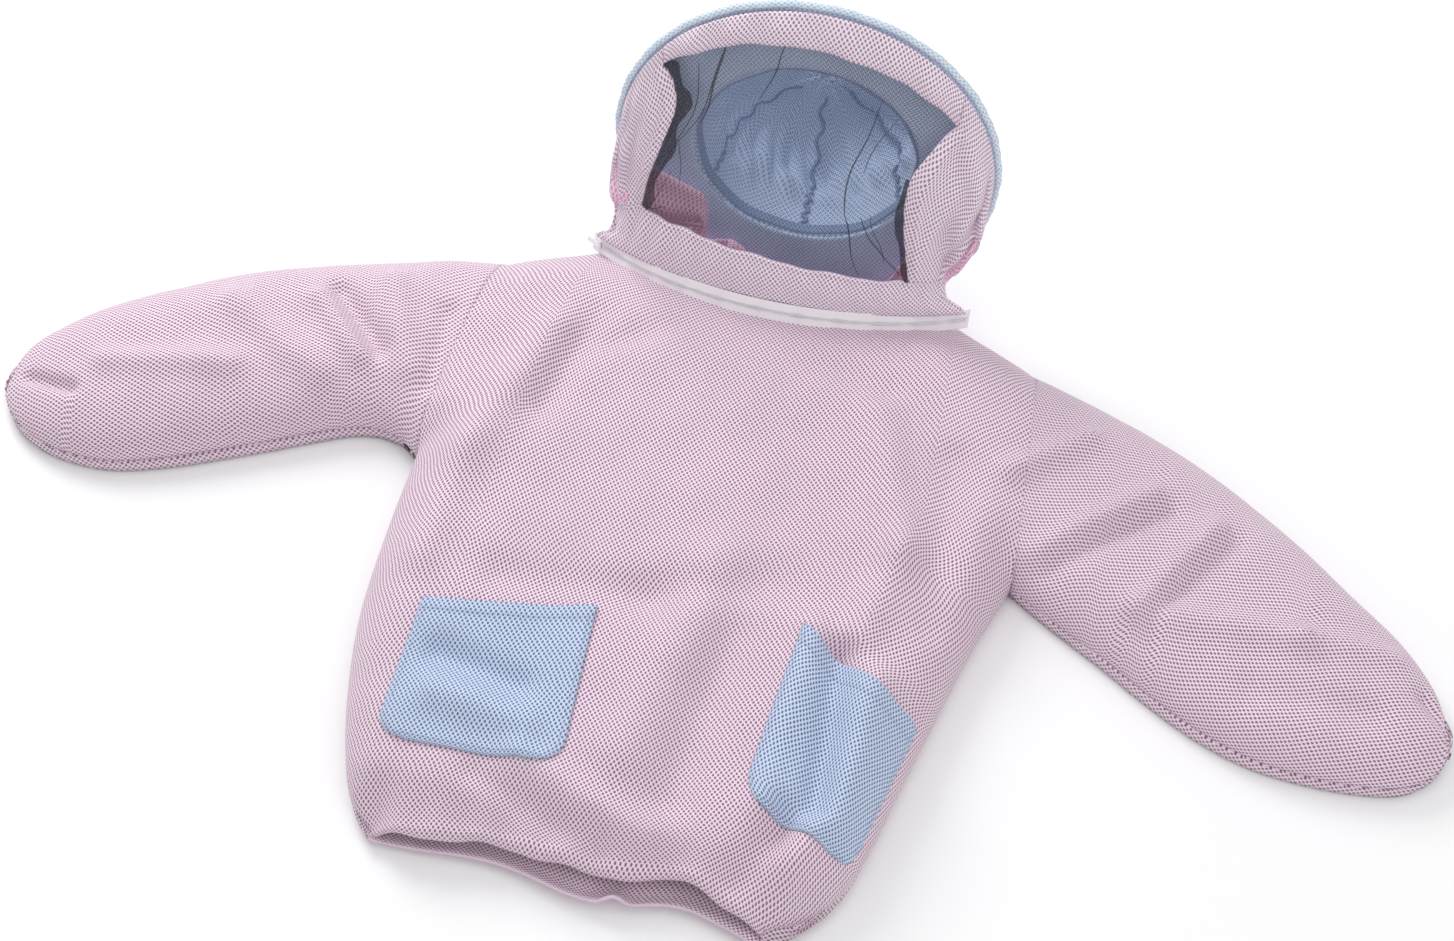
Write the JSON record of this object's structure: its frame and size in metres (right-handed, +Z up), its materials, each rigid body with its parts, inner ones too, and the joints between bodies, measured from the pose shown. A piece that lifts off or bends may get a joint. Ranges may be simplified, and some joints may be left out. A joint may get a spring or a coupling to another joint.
{
  "type": "beekeeping jacket",
  "caption": "Child's pull-on air mesh beekeeping jacket with elastic cuffs and hem, patch pockets and a zip-on hooded veil with a round brimmed hat, lying on its back.",
  "frame": {"origin": "on the underside of the back panel, on the centre line, between the chest and the armholes", "axes": "+Z up out of the front of the jacket as it lies, +Y towards the head, +X towards the wearer's left"},
  "size_m": [1.1794, 0.6931, 0.3044],
  "materials": {
    "pink_air_mesh": "three-layer polyester air mesh, pale pink over darker pink holes",
    "blue_air_mesh": "three-layer polyester air mesh, light blue",
    "blue_binding": "folded light blue air mesh edge binding",
    "white_tape": "woven polyester zip tape, white",
    "white_plastic": "white nylon or acetal",
    "white_elastic": "braided elastic, white",
    "black_tulle": "open black polyester tulle"
  },
  "bodies": {
    "jacket": {"front_panel": "pink_air_mesh", "back_panel": "pink_air_mesh", "left_pocket": "blue_air_mesh", "right_pocket": "blue_air_mesh", "hem_casing": "pink_air_mesh", "hem_elastic": "white_elastic", "zip_lower_tape": "white_tape", "zip_upper_tape": "white_tape", "zip_coil": "white_plastic", "zip_stops": "white_plastic"},
    "left_sleeve_unit": {"left_sleeve": "pink_air_mesh", "left_cuff_casing": "pink_air_mesh", "left_cuff_elastic": "white_elastic"},
    "right_sleeve_unit": {"right_sleeve": "pink_air_mesh", "right_cuff_casing": "pink_air_mesh", "right_cuff_elastic": "white_elastic"},
    "hood": {"collar_band": "pink_air_mesh", "tulle_window": "black_tulle", "veil_top_band": "pink_air_mesh", "left_veil_side": "pink_air_mesh", "right_veil_side": "pink_air_mesh", "veil_back": "pink_air_mesh", "brim": "blue_air_mesh", "brim_hoop": "white_plastic", "brim_binding": "blue_binding", "sweatband": "blue_air_mesh", "crown_panel_1": "blue_air_mesh", "crown_panel_2": "blue_air_mesh", "crown_panel_3": "blue_air_mesh", "crown_panel_4": "blue_air_mesh", "crown_panel_5": "blue_air_mesh", "crown_panel_6": "blue_air_mesh"},
    "slider": {"zip_slider": "white_plastic"},
    "pull": {"zip_pull_tab": "white_plastic"}
  },
  "joints": [
    {"name": "hood_fold", "type": "hinge", "parent": "jacket", "child": "hood", "pos_m": [0, 0.1255, 0.0625], "axis": [1, 0, 0], "range_deg": [0, 110]},
    {"name": "left_sleeve_fold", "type": "hinge", "parent": "jacket", "child": "left_sleeve_unit", "pos_m": [0.231, 0.04, 0.046], "axis": [0.0933, -0.9956, 0], "range_deg": [0, 90]},
    {"name": "right_sleeve_fold", "type": "hinge", "parent": "jacket", "child": "right_sleeve_unit", "pos_m": [-0.231, 0.04, 0.046], "axis": [0.0933, 0.9956, 0], "range_deg": [0, 90]},
    {"name": "zip_slider_travel", "type": "hinge", "parent": "jacket", "child": "slider", "pos_m": [0, 0.31655, -0.06361], "axis": [0, 0.5225, 0.8526], "range_deg": [0, 82]},
    {"name": "pull_tab_swing", "type": "hinge", "parent": "slider", "child": "pull", "pos_m": [-0.15234, 0.16713, 0.02796], "axis": [0, 0.5225, 0.8526], "range_deg": [0, 150]}
  ]
}
